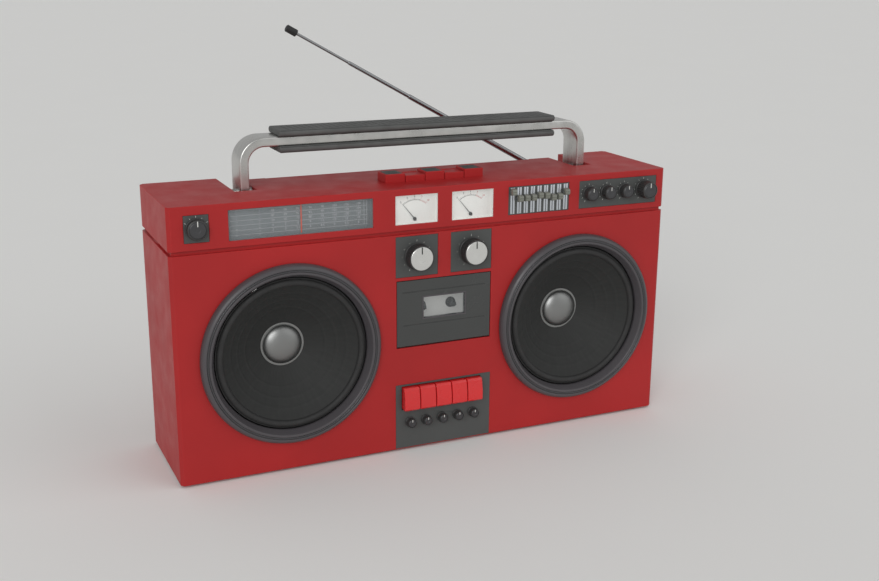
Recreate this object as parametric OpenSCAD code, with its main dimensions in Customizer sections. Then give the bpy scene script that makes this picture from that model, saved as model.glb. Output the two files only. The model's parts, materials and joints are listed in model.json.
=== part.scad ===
// Portable stereo cassette radio: two woofers, a control deck with a folding bail handle and a rod antenna.
// Millimetres. +X is the listener's right, +Y goes into the back, +Z is up. The origin is on the floor under
// the middle of the cabinet. Every sub-part is its own node.

/* [Cabinet] */
// Width of the cabinet
cabinet_w = 680; // [680:1:700]
// Depth of the cabinet
cabinet_d = 157; // [157:1:164]
// Height of the lower, speaker section
lower_h = 288; // [286:1:292]
// Height of the groove between the two sections
groove_h = 5; // [4:0.5:6]
// Depth of the groove
groove_d = 4; // [3.5:0.5:5]
// Height of the upper, control section
deck_h = 53; // [52:0.5:55]
// Wall thickness of the mouldings
wall = 3; // [2.5:0.1:3.2]
// Height of the rubber feet
foot_h = 3; // [2:0.5:6]
// Chamfer on the upright edges
edge = 4; // [2:0.5:6]

/* [Speakers] */
// Outer radius of the rim that frames each woofer
rim_r = 115.5; // [112:0.5:117]
// How far the rim stands proud of the front
rim_proud = 10; // [6:1:14]
// Radius of the moving cone
cone_r = 97; // [94:0.5:97]
// Depth of the cone
cone_depth = 46; // [40:1:50]
// Radius of the dust cap
cap_r = 25; // [22:1:28]

/* [Handle] */
// Depth of the flat strap, front to back
strap_d = 39; // [34:1:40]
// Thickness of the strap
strap_t = 12; // [9:0.5:12]
// Height of the strap's middle above the deck
grip_rise = 56.5; // [54:0.5:57]
// Length of the two grip pads
grip_len = 386; // [340:2:390]

/* [Antenna] */
// Angle of the raised antenna above the horizontal
antenna_lean = 29; // [26:1:32]
// Outer radius of the thickest tube
antenna_r = 4; // [3.6:0.1:4]
// Length of the thickest tube from its pivot
antenna_base_len = 186; // [180:1:200]

/* [Controls] */
// Number of graphic equaliser sliders
eq_count = 9; // [9:1:9]
// Protrusion of the five piano keys
key_proud = 10; // [8:0.5:12]
// Height of the tall keys on the deck
deck_key_h = 11; // [9:0.5:13]

/* [Hidden] */
$fn = 48;
fit = 0.05; // radial clearance of a shaft in its bore
gap = 0.4; // clearance between moving neighbours
eps = 0.01;

front_y = -cabinet_d / 2;
back_y = cabinet_d / 2;
split_z = foot_h + lower_h;
deck_z = split_z + groove_h;
top_z = deck_z + deck_h;
inner_front_y = front_y + wall;
part_y = -8; // plane where the front and rear mouldings meet
neck_h = groove_h + 4;
board_z = split_z + neck_h; // the circuit board rests on the neck

// control section: full depth at both ends, shallower in the middle, where the folded grip lies
left_block_x = -242;
right_block_x = 262;
mid_left_x = -214;
mid_right_x = 235;
mid_back_y = 58;
notch_front_y = -13;
notch_floor_z = top_z - 32;
rebate = [386, 1.8, 5]; // step along the rear top edge behind the grip
center_x = 10; // the middle column and the handle stand a little right of centre

// speakers
speaker_x = [-195, 205];
speaker_z = foot_h + 151;
front_hole_r = 101;
coil_r = 19;
magnet_r = 45;
magnet_t = 20;
basket_r = 110;
basket_t = cone_depth + 6; // depth of the basket

// display band across the control section
band_z = foot_h + 319;
band_h = 37;
dial_x = [-268, -87];
meter_x = [[-57.5, 0.5], [19.8, 78.7]];
eq_x = [100, 190];
right_plate_x = [205.5, 326.5];
left_plate_x = [-321, -291];
left_plate_h = 33;
inlay_t = 2; // thickness of the dark inlays
inlay_drop = 0.6; // how far an inlay lies below the surface around it
pane_t = 1.5;
tray_y = front_y + 9; // front of the printed scales

// middle column
mid_plate_w = 58;
mid_plate_h = 53;
mid_plate_x = [-28.5, 47.5];
mid_plate_z = foot_h + 259;
door_w = 132;
door_h = 88;
door_z = foot_h + 139.5;
door_t = 5;
hinge = [front_y + 3.5, foot_h + 142.5]; // depth and height of the door's pins
hinge_r = 1.2;
well_back_y = front_y + 29;
window = [58, 27.3];
window_z = foot_h + 190;
reel_pitch = 42.5;
spindle_r = 2.4;
reel_z = foot_h + 184.5;
panel_w = 136;
panel_h = 88;
panel_z = foot_h + 1;

// keys and knobs
key_pitch = 22.6;
key_w = 21.4;
key_h = 31.5;
key_x0 = 7 - 2 * key_pitch;
key_z = foot_h + 54.5;
trim_z = foot_h + 36.5;
deck_key_pitch = 27.6;
deck_key_w = 26.8;
deck_key_d = 28;
deck_key_x = 15;
deck_key_y = -36;
deck_key_low = 3; // how much lower the second and fourth keys are
deck_key_drop = 9; // part of each key below the deck
eq_pitch = 9.8;
eq_set = [12, 3, 3, 3, 5, 4, 1, 1.5, 7]; // slider heights above the middle of the slot
slot_h = 31;
right_knob_x = [220.5, 248, 275.5, 306];
right_knob_r = [10, 10, 10, 12.5];
right_knob_h = [12, 12, 12, 18];
shaft_r = 3;

// handle
pivot_y = 12;
pivot_z = top_z - 6;
leg_x = [-227.5, 248];
bend_r = 26; // radius of the strap's middle line at each bend
strap_z = top_z + grip_rise;
pivot_r = 4;
grip_d = 48;
grip_t = 8;

// antenna
antenna_y = 97;
antenna_pivot = [278, antenna_y, foot_h + 302];
tube_wall = 0.65;
tube_step = tube_wall + fit;
section_start = [0, antenna_base_len - 15, antenna_base_len + 78, antenna_base_len + 177];
section_len = [antenna_base_len, 108, 114, 96];
tip_cap_r = 4.8;
tip_cap_len = 16;
swivel_r = 8.5;
elbow_r = 5.5;
elbow_pin_r = 1.8;

// battery bay
cell_r = 17.1;
cell_len = 61.5;
bay_x = center_x;
bay_w = 4 * cell_len + 6;
bay_h = 4 * cell_r + 6;
bay_z = foot_h + 24;
bay_front_y = 36;
cover_t = 1.8;

// socket for the mains lead
inlet_x = [-254, -246];
inlet_z = foot_h + 57;
inlet_r = 5;

RED = "firebrick";
DARK = [0.22, 0.22, 0.22];
SILVER = [0.75, 0.75, 0.74];
CONE = [0.2, 0.21, 0.2];

// ---- helpers ----

// rectangle with cut corners, centred
module cut_rect(w, h, c) {
  polygon([
    [-w / 2 + c, -h / 2], [w / 2 - c, -h / 2], [w / 2, -h / 2 + c], [w / 2, h / 2 - c],
    [w / 2 - c, h / 2], [-w / 2 + c, h / 2], [-w / 2, h / 2 - c], [-w / 2, -h / 2 + c]
  ]);
}

// children drawn flat and extruded towards the listener, from depth y
module facing(x, y, z) {
  translate([x, y, z]) rotate([90, 0, 0]) children();
}

// block between two corners
module block(low, high) {
  translate(low) cube(high - low);
}

// block through the front, by its x range, its middle height and its height
module front_cut(x, z, h) {
  block([x[0], front_y - 1, z - h / 2], [x[1], inner_front_y + 1, z + h / 2]);
}

// plan of the control section, shrunk all round by inset
module deck_plan(inset) {
  w = cabinet_w / 2 - inset;
  translate([-w, front_y + inset]) square([2 * w, mid_back_y - front_y - 2 * inset]);
  translate([-w, front_y + inset]) square([w + left_block_x - inset, cabinet_d - 2 * inset]);
  translate([right_block_x + inset, front_y + inset])
    square([w - right_block_x - inset, cabinet_d - 2 * inset]);
}

function fluted(r, count, depth) = [
  for (i = [0:count - 1], s = [[0, 0], [0.45, 0], [0.6, depth], [0.85, depth]])
    let (a = 360 * (i + s[0]) / count) [(r - s[1]) * cos(a), (r - s[1]) * sin(a)]
];

// fluted knob standing on z = 0, with a shaft below it
module knob(r, h, flutes, skirt, shaft_len) {
  difference() {
    union() {
      cylinder(r = r + skirt, h = 1.6);
      linear_extrude(h - 1.6) polygon(fluted(r, flutes, r * 0.07));
      translate([0, 0, h - 2]) cylinder(r1 = r * 0.9, r2 = r * 0.8, h = 2);
      translate([0, 0, -shaft_len]) cylinder(r = shaft_r, h = shaft_len + 1);
    }
    translate([0, 0, h - 0.6]) cylinder(r = r * 0.6, h = 2);
  }
}

module front_knob(x, z, r, h, flutes, skirt) {
  facing(x, front_y - gap, z) knob(r, h, flutes, skirt, 16);
}

// ---- cabinet ----

module lower_tub() {
  difference() {
    union() {
      translate([0, 0, foot_h]) linear_extrude(lower_h) cut_rect(cabinet_w, cabinet_d, edge);
      translate([0, 0, split_z - eps]) linear_extrude(neck_h) deck_plan(groove_d);
      // the neck's upper edge fits inside the control section
      translate([0, 0, deck_z]) linear_extrude(neck_h - groove_h) deck_plan(wall);
    }
    translate([0, 0, foot_h + wall]) linear_extrude(lower_h - 2 * wall)
      cut_rect(cabinet_w - 2 * wall, cabinet_d - 2 * wall, edge - 1);
    translate([0, 0, split_z - wall - 1]) linear_extrude(neck_h + wall + 2) deck_plan(groove_d + 2);
  }
}

module lower_front_cabinet() {
  color(RED) difference() {
    intersection() {
      lower_tub();
      block([-cabinet_w, front_y - 1, 0], [cabinet_w, part_y, top_z]);
    }
    for (x = speaker_x) facing(x, inner_front_y + 2, speaker_z) cylinder(r = front_hole_r, h = wall + 4);
    for (x = mid_plate_x)
      front_cut([x - mid_plate_w / 2, x + mid_plate_w / 2], mid_plate_z, mid_plate_h);
    front_cut(span(center_x, door_w + 1.2), door_z + door_h / 2, door_h + 1.6);
    // opening for the key panel, and the shallow seat that takes its edge
    block([center_x - panel_w / 2 + 3, front_y - 1, panel_z + 3],
          [center_x + panel_w / 2 - 3, inner_front_y + 1, panel_z + panel_h - 0.5]);
    block([center_x - panel_w / 2, front_y - 1, panel_z],
          [center_x + panel_w / 2, front_y + 1.2, panel_z + panel_h]);
    door_pins(hinge_r + fit, door_w + 4.2);
  }
}

// pins at the foot of the cassette door
module door_pins(r, length) {
  translate([center_x - length / 2, hinge[0], hinge[1]]) rotate([0, 90, 0]) cylinder(r = r, h = length);
}

module vent_slots() {
  for (side = [-1, 1], i = [0:7])
    block([side * 230 - 45, back_y - wall - 1, foot_h + 190 + i * 10],
          [side * 230 + 45, back_y + 1, foot_h + 194 + i * 10]);
}

module lower_rear_cabinet() {
  color(RED) difference() {
    union() {
      intersection() {
        lower_tub();
        block([-cabinet_w, part_y, 0], [cabinet_w, back_y + 1, top_z]);
      }
      // tray that holds the cells
      block([bay_x - bay_w / 2 - 2, bay_front_y - 2, bay_z - 2],
            [bay_x + bay_w / 2 + 2, back_y - 1, bay_z + bay_h + 2]);
      // socket housing for the mains lead
      block([inlet_x[0] - 12, back_y - 18, inlet_z - 13], [inlet_x[1] + 12, back_y - 1, inlet_z + 13]);
    }
    block([bay_x - bay_w / 2, bay_front_y, bay_z], [bay_x + bay_w / 2, back_y + 1, bay_z + bay_h]);
    block([bay_x - bay_w / 2 - 5, back_y - cover_t, bay_z - 5],
          [bay_x + bay_w / 2 + 5, back_y + 1, bay_z + bay_h + 5]);
    for (x = inlet_x) translate([x, back_y - 14, inlet_z]) rotate([-90, 0, 0]) cylinder(r = inlet_r, h = 20);
    block([inlet_x[0], back_y - 14, inlet_z - 4.5], [inlet_x[1], back_y + 1, inlet_z + 4.5]);
    vent_slots();
    // room for the antenna's boss
    translate([antenna_pivot[0], back_y - 13, antenna_pivot[2]]) rotate([-90, 0, 0])
      cylinder(r = swivel_r, h = 13);
    for (p = screw_at) translate([p[0], back_y - 2.2, p[1]]) rotate([-90, 0, 0]) cylinder(r = 5, h = 4);
  }
}

module deck_cuts() {
  front_cut(left_plate_x, band_z - 0.5, left_plate_h);
  for (x = [dial_x, meter_x[0], meter_x[1], eq_x, right_plate_x]) front_cut(x, band_z, band_h);
  // opening for the deck keys
  w = 5 * deck_key_pitch / 2;
  block([deck_key_x - w, deck_key_y - gap, top_z - wall - 1],
        [deck_key_x + w, deck_key_y + deck_key_d + gap, top_z + 1]);
}

module control_housing() {
  color(RED) difference() {
    union() {
      difference() {
        translate([0, 0, deck_z]) linear_extrude(deck_h) intersection() {
          deck_plan(0);
          cut_rect(cabinet_w, cabinet_d, edge);
        }
        translate([0, 0, deck_z - 1]) linear_extrude(deck_h - wall + 1) deck_plan(wall);
      }
      // walls around the two notches that take the handle's legs
      for (x = [[left_block_x, mid_left_x], [mid_right_x, right_block_x]])
        block([x[0] - wall, notch_front_y - wall, notch_floor_z - wall], [x[1] + wall, mid_back_y, top_z]);
      // boss for the antenna
      translate([antenna_pivot[0], back_y - 12, antenna_pivot[2]]) rotate([-90, 0, 0])
        cylinder(r = swivel_r - 0.5, h = 13);
    }
    for (x = [[left_block_x, mid_left_x], [mid_right_x, right_block_x]])
      block([x[0], notch_front_y, notch_floor_z], [x[1], back_y + 1, top_z + 1]);
    block([center_x - rebate[0] / 2, mid_back_y - rebate[1], top_z - rebate[2]],
          [center_x + rebate[0] / 2, mid_back_y + 1, top_z + 1]);
    deck_cuts();
    for (x = leg_x) translate([x - 20, pivot_y, pivot_z]) rotate([0, 90, 0])
      cylinder(r = pivot_r + fit, h = 40);
    translate([antenna_pivot[0], back_y - 8, antenna_pivot[2]]) rotate([-90, 0, 0])
      cylinder(r = shaft_r + fit, h = 12);
  }
}

module inlay(x, z, h) {
  block([x[0] + 0.1, front_y + inlay_drop, z - h / 2 + 0.1],
        [x[1] - 0.1, front_y + inlay_drop + inlay_t, z + h / 2 - 0.1]);
}

function span(middle, w) = [middle - w / 2, middle + w / 2];

module shaft_hole(x, z, r) {
  facing(x, front_y + 8, z) cylinder(r = r + 0.3, h = 12);
}

module fascia_plates() {
  color(DARK) difference() {
    union() {
      inlay(left_plate_x, band_z - 0.5, left_plate_h);
      inlay(right_plate_x, band_z, band_h);
      inlay(eq_x, band_z, band_h);
      for (x = mid_plate_x) inlay(span(x, mid_plate_w), mid_plate_z, mid_plate_h);
      key_panel();
    }
    shaft_hole(-306, band_z - 0.5, shaft_r);
    for (x = right_knob_x) shaft_hole(x, band_z + 1.5, shaft_r);
    for (x = mid_plate_x) shaft_hole(x, mid_plate_z, shaft_r);
    for (i = [0:4]) shaft_hole(key_x0 + i * key_pitch, trim_z, shaft_r);
    for (i = [0:eq_count - 1])
      block([eq_at(i) - 1, front_y - 1, band_z - slot_h / 2],
            [eq_at(i) + 1, front_y + 8, band_z + slot_h / 2]);
  }
}

function eq_at(i) = (eq_x[0] + eq_x[1]) / 2 + (i - (eq_count - 1) / 2) * eq_pitch;

// panel at the foot of the middle column, with a recess for the piano keys
module key_panel() {
  low = [center_x - panel_w / 2 + 0.1, front_y + 0.2, panel_z];
  high = [center_x + panel_w / 2 - 0.1, front_y + 1.2, panel_z + panel_h - 0.1];
  keys = span(key_x0 + 2 * key_pitch, 5 * key_pitch + 0.6);
  difference() {
    union() {
      block(low, high);
      block(low + [3.4, 0.5, 3.4], high + [-3.4, 2.5, -1]);
      block([keys[0] - 2, front_y + 1, key_z - 2], [keys[1] + 2, front_y + 12, key_z + key_h + 1.4]);
    }
    block([keys[0], front_y - 1, key_z - 0.5], [keys[1], front_y + 13, key_z + key_h + 0.5]);
  }
}

// shallow tray behind an opening in the front, with its printed face at tray_y
module tray(x, z, h) {
  difference() {
    block([x[0] - 2, inner_front_y, z - h / 2 - 2], [x[1] + 2, tray_y + 1.5, z + h / 2 + 2]);
    block([x[0] - 0.5, inner_front_y - 1, z - h / 2 - 0.5], [x[1] + 0.5, tray_y, z + h / 2 + 0.5]);
  }
}

module dial_faces() {
  color([0.5, 0.52, 0.53]) for (x = [dial_x, meter_x[0], meter_x[1]]) tray(x, band_z, band_h);
}

module pane(x) {
  block([x[0] + 0.1, front_y + 0.4, band_z - band_h / 2 + 0.1],
        [x[1] - 0.1, front_y + 0.4 + pane_t, band_z + band_h / 2 - 0.1]);
}

module clear_windows() {
  color([0.85, 0.9, 0.9, 0.4]) for (x = [dial_x, meter_x[0], meter_x[1]]) pane(x);
}

// ---- speakers ----

module speaker_rims() {
  color([0.13, 0.13, 0.13]) for (x = speaker_x)
    facing(x, front_y, speaker_z) rotate_extrude($fn = 96) polygon([
      [98, -wall], [100.6, -wall], [100.6, 0], [rim_r, 0], [rim_r, rim_proud * 0.45],
      [rim_r - 2.5, rim_proud * 0.85], [rim_r - 5, rim_proud], [109, rim_proud], [109, rim_proud - 1.2],
      [106, rim_proud - 1.2], [106, rim_proud], [103, rim_proud], [98, 0]
    ]);
}

module basket() {
  difference() {
    rotate_extrude($fn = 96) polygon([
      [99, 0], [basket_r, 0], [basket_r, -2], [101, -2], [101, -9], [52, -basket_t + 2], [52, -basket_t],
      [20.5, -basket_t], [20.5, -basket_t + 3], [49, -basket_t + 3], [99, -8]
    ]);
    for (i = [0:5]) rotate([0, 0, i * 60]) translate([55, -16, -46]) cube([36, 32, 42]);
  }
}

module speaker_drivers() {
  color([0.3, 0.3, 0.31]) for (x = speaker_x) facing(x, inner_front_y, speaker_z) {
    basket();
    translate([0, 0, -basket_t - 0.1 - magnet_t]) difference() {
      cylinder(r = magnet_r, h = magnet_t);
      translate([0, 0, 5]) difference() {
        cylinder(r = coil_r + 2, h = magnet_t);
        cylinder(r = coil_r - 3, h = magnet_t - 5);
      }
    }
  }
}

module cone(x) {
  t = 1.2;
  z1 = -cone_depth;
  color(CONE) facing(x, front_y, speaker_z) rotate_extrude($fn = 96) polygon([
    [cone_r, -1], [94.5, 1.6], [91, 2.4], [87.5, 1.6], [85, -1.5], [60, z1 * 0.52], [cap_r + 3, z1],
    [cap_r + 1, z1 + 1.5], [cap_r - 4, z1 + 5.5], [cap_r * 0.5, z1 + 9], [0, z1 + 10.5], [0, z1 + 10.5 - t],
    [cap_r * 0.5, z1 + 9 - t], [coil_r, z1 + 2], [coil_r, z1 - 13], [coil_r + 0.6, z1 - 13],
    [coil_r + 0.6, z1 - t], [cap_r + 3.4, z1 - t], [60.7, z1 * 0.52 - t],
    [85, -1.5 - t * 1.6], [88, 1.6 - t * 1.5], [91, 2.4 - t], [94.3, 1.6 - t * 1.2], [cone_r, -1 - t]
  ]);
}

module cone_left() { cone(speaker_x[0]); }
module cone_right() { cone(speaker_x[1]); }

// ---- cassette deck ----

module tape_deck() {
  w = door_w / 2 + 2.6;
  color([0.35, 0.35, 0.37]) difference() {
    union() {
      block([center_x - w, inner_front_y, door_z - 2.6],
            [center_x + w, well_back_y + 3, door_z + door_h + 2.6]);
      // motor, flywheel housing and head block
      facing(center_x - 38, well_back_y + 26, door_z + 24) cylinder(r = 16, h = 24);
      facing(center_x + 14, well_back_y + 14, door_z + 30) cylinder(r = 26, h = 12);
    }
    block([center_x - w + 2, inner_front_y - 1, door_z - 0.6],
          [center_x + w - 2, well_back_y, door_z + door_h + 0.6]);
    for (s = [-1, 1]) facing(center_x + s * reel_pitch / 2, well_back_y + 16, reel_z)
      cylinder(r = spindle_r + fit, h = 20);
    door_pins(hinge_r + fit, door_w + 4.2);
  }
}

module cassette_door() {
  low = [center_x - door_w / 2, front_y + 0.5, door_z];
  back = low[1] + door_t;
  rail_top = door_z + 70;
  color(DARK) difference() {
    union() {
      translate([low[0], 0, 0]) rotate([90, 0, 90]) linear_extrude(door_w) polygon([
        [back, door_z], [low[1] + 1.4, door_z], [low[1], door_z + 1.4], [low[1], door_z + door_h],
        [back, door_z + door_h]
      ]);
      // pocket that carries the cassette: two rails with lips, and a shelf
      for (s = [-1, 1]) {
        block([center_x + s * 55 - 2, back - eps, door_z + 6], [center_x + s * 55 + 2, back + 13, rail_top]);
        block([center_x + s * 53 - 4, back + 11, door_z + 6], [center_x + s * 53 + 4, back + 13, rail_top]);
      }
      block([center_x - 57, back - eps, door_z + 5], [center_x + 57, back + 13, door_z + 8]);
      door_pins(hinge_r, door_w + 3.6);
    }
    // viewing window: a thin web is left as the clear pane
    block([center_x - window[0] / 2, low[1] + 1.4, window_z - window[1] / 2],
          [center_x + window[0] / 2, back + 1, window_z + window[1] / 2]);
    block([center_x - window[0] / 2, low[1] - 1, window_z - window[1] / 2],
          [center_x + window[0] / 2, low[1] + 0.4, window_z + window[1] / 2]);
    // panel lines above and below the window
    for (z = [window_z - 22, window_z + 22])
      block([low[0] + 8, low[1] - 1, z - 0.6], [low[0] + door_w - 8, low[1] + 0.6, z + 0.6]);
  }
}

module reel(s) {
  color("white") facing(center_x + s * reel_pitch / 2, well_back_y + 10, reel_z) {
    cylinder(r = spindle_r, h = 22);
    translate([0, 0, 10.4]) cylinder(r = 7, h = 1.6);
    translate([0, 0, 11]) cylinder(r = 4, h = 10);
    for (i = [0:2]) rotate([0, 0, i * 120]) translate([-0.7, 0, 11]) cube([1.4, 5.2, 9]);
  }
}

module reel_left() { reel(-1); }
module reel_right() { reel(1); }

module tape_key(i) {
  x = key_x0 + i * key_pitch;
  color("red") translate([x - key_w / 2, front_y, key_z]) rotate([90, 0, 90]) linear_extrude(key_w) polygon([
    [10, 0.6], [-key_proud + 1.5, 0.6], [-key_proud, 2.5], [-key_proud, key_h * 0.45],
    [-key_proud + 2.5, key_h - 3], [-key_proud + 5, key_h - 0.6], [10, key_h - 0.6]
  ]);
}

module deck_key(i) {
  low = i % 2 == 1 ? deck_key_low : 0;
  x = deck_key_x + (i - 2) * deck_key_pitch;
  color(RED) difference() {
    block([x - deck_key_w / 2, deck_key_y, top_z - deck_key_drop],
          [x + deck_key_w / 2, deck_key_y + deck_key_d, top_z + deck_key_h - low]);
    block([x - deck_key_w / 2 + 2, deck_key_y + 2, top_z + deck_key_h - low - 0.8],
          [x + deck_key_w / 2 - 2, deck_key_y + deck_key_d - 2, top_z + deck_key_h + 1]);
  }
}

// ---- controls on the front ----

module function_knob() { color(DARK) front_knob(-306, band_z - 0.5, 12.4, 8, 30, 0.8); }
module volume_knob() { color([0.3, 0.3, 0.3]) front_knob(mid_plate_x[0], mid_plate_z, 16, 16, 30, 1.5); }
module tuning_knob() { color([0.3, 0.3, 0.3]) front_knob(mid_plate_x[1], mid_plate_z, 16, 16, 30, 1.5); }

module right_knob(i) {
  color([0.3, 0.3, 0.3])
    front_knob(right_knob_x[i], band_z + 1.5, right_knob_r[i] - 0.8, right_knob_h[i], 20, 0.8);
}

module trim_knob(i) {
  color([0.3, 0.3, 0.3]) front_knob(key_x0 + i * key_pitch, trim_z, 6.4, 9, 14, 0.5);
}

module eq_slider(i) {
  color([0.55, 0.56, 0.52]) translate([eq_at(i), 0, band_z + eq_set[i]]) {
    block([-0.7, front_y - 1, -2.5], [0.7, front_y + 12, 2.5]);
    translate([-3.4, front_y - gap, -4.7]) rotate([90, 0, 90]) linear_extrude(6.8) polygon([
      [0, 0], [-5.5, 1], [-6.6, 3.5], [-5.6, 4.7], [-6.6, 5.9], [-5.5, 8.4], [0, 9.4]
    ]);
  }
}

module needle(x) {
  color([0.7, 0.1, 0.1]) translate([x, tray_y - 2.4, band_z - band_h / 2 + 5]) {
    rotate([-90, 0, 0]) cylinder(r = 2.4, h = 1.6);
    rotate([0, -40, 0]) translate([-0.4, 0.3, 0]) cube([0.8, 0.8, 25]);
  }
}

module needle_left() { needle((meter_x[0][0] + meter_x[0][1]) / 2); }
module needle_right() { needle((meter_x[1][0] + meter_x[1][1]) / 2); }

module tuning_pointer() {
  x = (dial_x[0] + dial_x[1]) / 2;
  color([0.9, 0.3, 0.1])
    block([x - 0.7, tray_y - 3, band_z - band_h / 2 + 1], [x + 0.7, tray_y - 1.8, band_z + band_h / 2 - 1]);
}

// ---- inside ----

module main_board() {
  color("darkgreen") {
    block([-300, -62, board_z], [300, mid_back_y - groove_d - 0.5, board_z + 1.6]);
    for (x = [-150, -60, 40, 130]) block([x - 14, -10, board_z + 1.6], [x + 14, 2, board_z + 5]);
    // transformer on the cabinet floor
    block([-300, 22, foot_h + wall], [-246, 60, foot_h + wall + 44]);
  }
}

module batteries() {
  color([0.2, 0.25, 0.35]) for (i = [0:3], j = [0:1])
    translate([bay_x + (i - 2) * cell_len, bay_front_y + cell_r + 1, bay_z + cell_r + 1.5])
      translate([0, 0, j * (2 * cell_r + 2)]) rotate([0, 90, 0]) {
        cylinder(r = cell_r, h = cell_len - 2);
        translate([0, 0, cell_len - 2]) cylinder(r = 4.5, h = 1.6);
      }
}

module battery_cover() {
  color(RED) {
    block([bay_x - bay_w / 2 - 4.6, back_y - cover_t + 0.1, bay_z - 4.6],
          [bay_x + bay_w / 2 + 4.6, back_y, bay_z + bay_h + 4.6]);
    for (i = [0:4])
      block([bay_x - 30, back_y - 0.1, bay_z + bay_h - 8 - i * 4],
            [bay_x + 30, back_y + 0.8, bay_z + bay_h - 6 - i * 4]);
  }
}

module feet() {
  color([0.1, 0.1, 0.1]) for (x = [-1, 1], y = [-1, 1])
    translate([x * (cabinet_w / 2 - 35), y * (cabinet_d / 2 - 25), 0]) cylinder(r = 9, h = foot_h);
}

screw_at = [
  for (x = [-1, 1], z = [foot_h + 14, foot_h + lower_h / 2, split_z - 14]) [x * (cabinet_w / 2 - 16), z]
];

module fasteners() {
  color(SILVER) {
    for (p = screw_at) translate([p[0], back_y - 2.2, p[1]]) rotate([-90, 0, 0]) difference() {
      cylinder(r = 4.5, h = 1.8);
      translate([-0.6, -3, 1]) cube([1.2, 6, 2]);
      translate([-3, -0.6, 1]) cube([6, 1.2, 2]);
    }
    for (x = leg_x) translate([x - 18, pivot_y, pivot_z]) rotate([0, 90, 0]) cylinder(r = pivot_r, h = 36);
    translate([antenna_pivot[0], back_y - 8, antenna_pivot[2]]) rotate([-90, 0, 0])
      cylinder(r = shaft_r, h = 18);
  }
}

// ---- handle ----

module handle_bail() {
  color(SILVER) difference() {
    union() {
      for (s = [0, 1]) {
        translate([leg_x[s] - strap_t / 2, pivot_y - strap_d / 2, pivot_z])
          cube([strap_t, strap_d, strap_z - bend_r - pivot_z]);
        translate([leg_x[s] - strap_t / 2, pivot_y, pivot_z]) rotate([0, 90, 0])
          cylinder(r = strap_d / 2 - 0.5, h = strap_t);
      }
      for (s = [0, 1])
        translate([leg_x[s] + (s == 0 ? bend_r : -bend_r), pivot_y + strap_d / 2, strap_z - bend_r])
          rotate([90, 0, 0]) rotate([0, 0, s == 0 ? 90 : 0]) rotate_extrude(angle = 90)
            translate([bend_r - strap_t / 2, 0]) square([strap_t, strap_d]);
      block([leg_x[0] + bend_r, pivot_y - strap_d / 2, strap_z - strap_t / 2],
            [leg_x[1] - bend_r, pivot_y + strap_d / 2, strap_z + strap_t / 2]);
    }
    for (x = leg_x) translate([x - strap_t, pivot_y, pivot_z]) rotate([0, 90, 0])
      cylinder(r = pivot_r + fit, h = 2 * strap_t);
  }
}

module handle_grips() {
  color([0.3, 0.3, 0.3]) for (z = [strap_z - strap_t / 2 - grip_t, strap_z + strap_t / 2])
    translate([center_x - grip_len / 2, pivot_y, z + grip_t / 2]) rotate([90, 0, 90])
      linear_extrude(grip_len) cut_rect(grip_d, grip_t, 2);
}

// ---- antenna ----

// children drawn along +Z are laid along the raised antenna, from its pivot
module along_antenna(start) {
  translate(antenna_pivot) rotate([0, antenna_lean - 90, 0]) translate([0, 0, start]) children();
}

module antenna_swivel() {
  color(SILVER) difference() {
    union() {
      translate([antenna_pivot[0], back_y + 1.4, antenna_pivot[2]]) rotate([-90, 0, 0])
        cylinder(r = swivel_r, h = antenna_y - back_y - 1.4 - elbow_r - 0.8);
      along_antenna(0) for (s = [-1, 1]) {
        translate([s * 5.8 - 1.2, -10, -elbow_r]) cube([2.4, 10, 2 * elbow_r]);
        translate([s * 5.8 - 1.2, 0, 0]) rotate([0, 90, 0]) cylinder(r = elbow_r, h = 2.4);
      }
      along_antenna(0) translate([-6, 0, 0]) rotate([0, 90, 0]) cylinder(r = elbow_pin_r, h = 12);
    }
    translate([antenna_pivot[0], back_y, antenna_pivot[2]]) rotate([-90, 0, 0])
      cylinder(r = shaft_r + fit, h = 10.3);
  }
}

module antenna_tube() {
  color(SILVER) along_antenna(0) difference() {
    union() {
      translate([-4.3, 0, 0]) rotate([0, 90, 0]) cylinder(r = elbow_r - 0.2, h = 8.6);
      cylinder(r = antenna_r, h = section_len[0]);
    }
    translate([0, 0, 12]) cylinder(r = antenna_r - tube_wall, h = section_len[0]);
    translate([-6, 0, 0]) rotate([0, 90, 0]) cylinder(r = elbow_pin_r + fit, h = 12);
  }
}

module antenna_section(i) {
  r = antenna_r - i * tube_step;
  color(SILVER) along_antenna(section_start[i]) difference() {
    cylinder(r = r, h = section_len[i]);
    translate([0, 0, -1]) cylinder(r = r - tube_wall, h = section_len[i] + 2);
  }
}

module antenna_section_2() { antenna_section(1); }
module antenna_section_3() { antenna_section(2); }

module antenna_tip() {
  color(SILVER) along_antenna(section_start[3]) {
    cylinder(r = antenna_r - 3 * tube_step, h = section_len[3] + 1);
    translate([0, 0, section_len[3]]) cylinder(r = tip_cap_r, h = tip_cap_len);
  }
}

lower_front_cabinet();
lower_rear_cabinet();
control_housing();
fascia_plates();
dial_faces();
clear_windows();
speaker_rims();
speaker_drivers();
tape_deck();
main_board();
batteries();
feet();
fasteners();
battery_cover();
cone_left();
cone_right();
cassette_door();
reel_left();
reel_right();
tuning_pointer();
needle_left();
needle_right();
function_knob();
volume_knob();
tuning_knob();
right_knob(0);  // tone_knob_1
right_knob(1);  // tone_knob_2
right_knob(2);  // tone_knob_3
right_knob(3);  // balance_knob
for (i = [0:4]) trim_knob(i);
for (i = [0:4]) tape_key(i);
for (i = [0:4]) deck_key(i);
for (i = [0:eq_count - 1]) eq_slider(i);
handle_bail();
handle_grips();
antenna_swivel();
antenna_tube();
antenna_section_2();
antenna_section_3();
antenna_tip();
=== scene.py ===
import json
import math

import bmesh
import bpy
from mathutils import Matrix, Vector


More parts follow.
